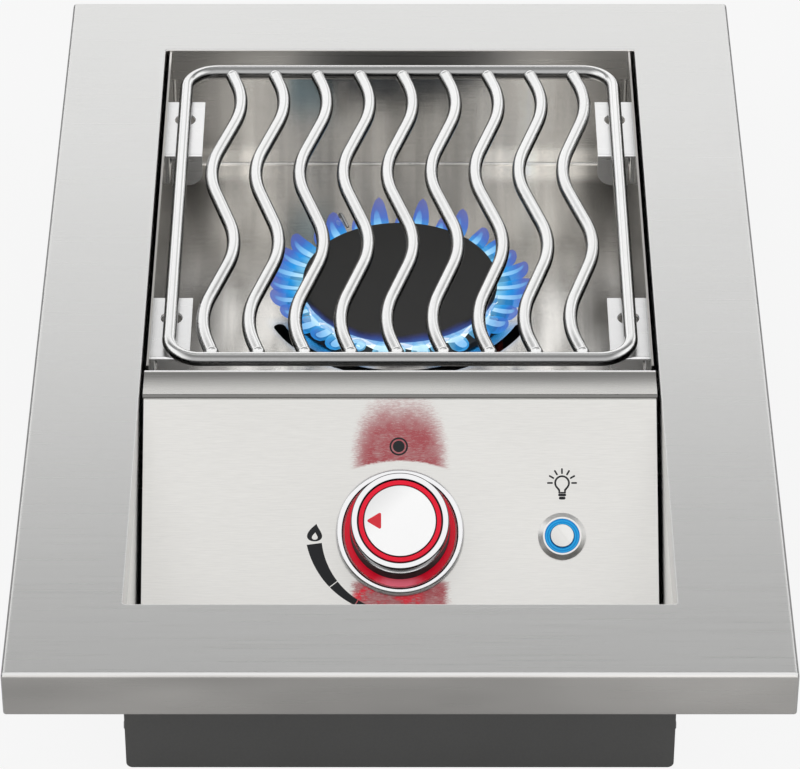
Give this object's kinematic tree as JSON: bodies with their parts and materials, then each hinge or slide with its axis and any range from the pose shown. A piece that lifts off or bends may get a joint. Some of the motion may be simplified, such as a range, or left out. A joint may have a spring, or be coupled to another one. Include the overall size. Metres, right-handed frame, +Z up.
{
  "type": "built-in side burner",
  "caption": "Drop-in gas side burner: wavy rod grate over a round burner in a steel tray, with a sloping panel that holds a lit knob and a light button.",
  "frame": {"origin": "middle of the bounding box, on the underside of the casing", "axes": "+X to the right seen from the control side, +Y from the controls to the back, +Z up"},
  "size_m": [0.356, 0.5544, 0.099],
  "materials": {
    "trim_steel": "brushed along its length",
    "dark_casing": "matte dark grey paint",
    "tray_steel": "brushed from front to back",
    "panel_steel": "brushed across",
    "bracket_steel": "fine brushed",
    "galvanised": "galvanised",
    "fastener_steel": "smooth",
    "grate_steel": "satin polished",
    "black_enamel": "black enamel, satin",
    "burner_alloy": "cast",
    "tube_steel": "drawn",
    "brass": "turned",
    "spring_steel": "bright",
    "chrome": "polished",
    "lamp_board": "white board",
    "red_light": "translucent, lit red",
    "black_plastic": "fine matte",
    "knob_face": "satin chrome",
    "button_steel": "turned",
    "blue_light": "translucent, lit blue",
    "insulator": "glazed",
    "silicone_lead": "smooth",
    "module_plastic": "moulded",
    "cable": "smooth"
  },
  "bodies": {
    "burner_housing": {"bezel_lamp_board": "lamp_board", "bezel_light_ring": "red_light", "bracket_back_left": "bracket_steel", "bracket_back_right": "bracket_steel", "bracket_front_left": "bracket_steel", "bracket_front_right": "bracket_steel", "burner_base": "burner_alloy", "burner_port_ring": "burner_alloy", "burner_tray": "tray_steel", "button_housing": "button_steel", "button_light_ring": "blue_light", "button_lock_nut": "button_steel", "button_spring": "spring_steel", "casing_back_panel": "dark_casing", "casing_front_panel": "dark_casing", "casing_wrap": "dark_casing", "control_module": "module_plastic", "control_panel": "panel_steel", "crosspiece": "panel_steel", "electrode_wire": "spring_steel", "gas_inlet_fitting": "brass", "gas_orifice": "brass", "gas_supply_tube": "tube_steel", "gas_tube_nut": "brass", "igniter_insulator": "insulator", "ignition_lead": "silicone_lead", "inlet_lock_nut": "brass", "knob_bezel": "chrome", "mixer_tube": "tube_steel", "outlet_elbow": "brass", "pan_head_screws": "fastener_steel", "panel_cheeks": "trim_steel", "pop_rivets": "fastener_steel", "power_socket": "module_plastic", "stem_spring": "spring_steel", "tray_rails": "galvanised", "trim_frame": "trim_steel", "valve_body": "brass", "valve_bonnet": "galvanised", "wiring_loom": "cable"},
    "thrust_carriage": {"thrust_washer": "spring_steel"},
    "knob": {"valve_stem": "spring_steel", "knob_skirt": "black_plastic", "knob_shell": "chrome", "knob_light_ring": "red_light", "knob_face_disc": "knob_face"},
    "valve_rotor": {"valve_rotor": "brass"},
    "light_button": {"button_cap": "button_steel"},
    "grate": {"grate_frame": "grate_steel", "wave_rod_1": "grate_steel", "wave_rod_2": "grate_steel", "wave_rod_3": "grate_steel", "wave_rod_4": "grate_steel", "wave_rod_5": "grate_steel", "wave_rod_6": "grate_steel", "wave_rod_7": "grate_steel", "wave_rod_8": "grate_steel", "wave_rod_9": "grate_steel"},
    "burner_cap": {"burner_cap": "black_enamel"},
    "air_shutter": {"air_shutter": "tube_steel"}
  },
  "joints": [
    {"name": "knob_push", "type": "slide", "parent": "burner_housing", "child": "thrust_carriage", "axis": [0, 0.6428, -0.766], "range_m": [0, 0.003], "stiffness_N_per_m": 1500, "springref_m": -0.004, "deforming": ["stem_spring"]},
    {"name": "knob_turn", "type": "hinge", "parent": "thrust_carriage", "child": "knob", "pos_m": [0, -0.12399, 0.05482], "axis": [0, -0.6428, 0.766], "range_deg": [-90, 90]},
    {"name": "valve_turn", "type": "hinge", "parent": "burner_housing", "child": "valve_rotor", "pos_m": [0, -0.12399, 0.05482], "axis": [0, -0.6428, 0.766], "range_deg": [-90, 90]},
    {"name": "light_button_push", "type": "slide", "parent": "burner_housing", "child": "light_button", "axis": [0, 0.6428, -0.766], "range_m": [0, 0.0016], "stiffness_N_per_m": 500, "springref_m": -0.003, "deforming": ["button_spring"]},
    {"name": "grate_lift", "type": "slide", "parent": "burner_housing", "child": "grate", "axis": [0, 0, 1], "range_m": [0, 0.1]},
    {"name": "burner_cap_lift", "type": "slide", "parent": "burner_housing", "child": "burner_cap", "axis": [0, 0, 1], "range_m": [0, 0.03]},
    {"name": "air_shutter_turn", "type": "hinge", "parent": "burner_housing", "child": "air_shutter", "pos_m": [0, -0.0639, 0.0119], "axis": [0, 1, 0], "range_deg": [-30, 30]}
  ],
  "couplings": [
    {"joint": "valve_turn", "follows": "knob_turn", "ratio": 1}
  ]
}
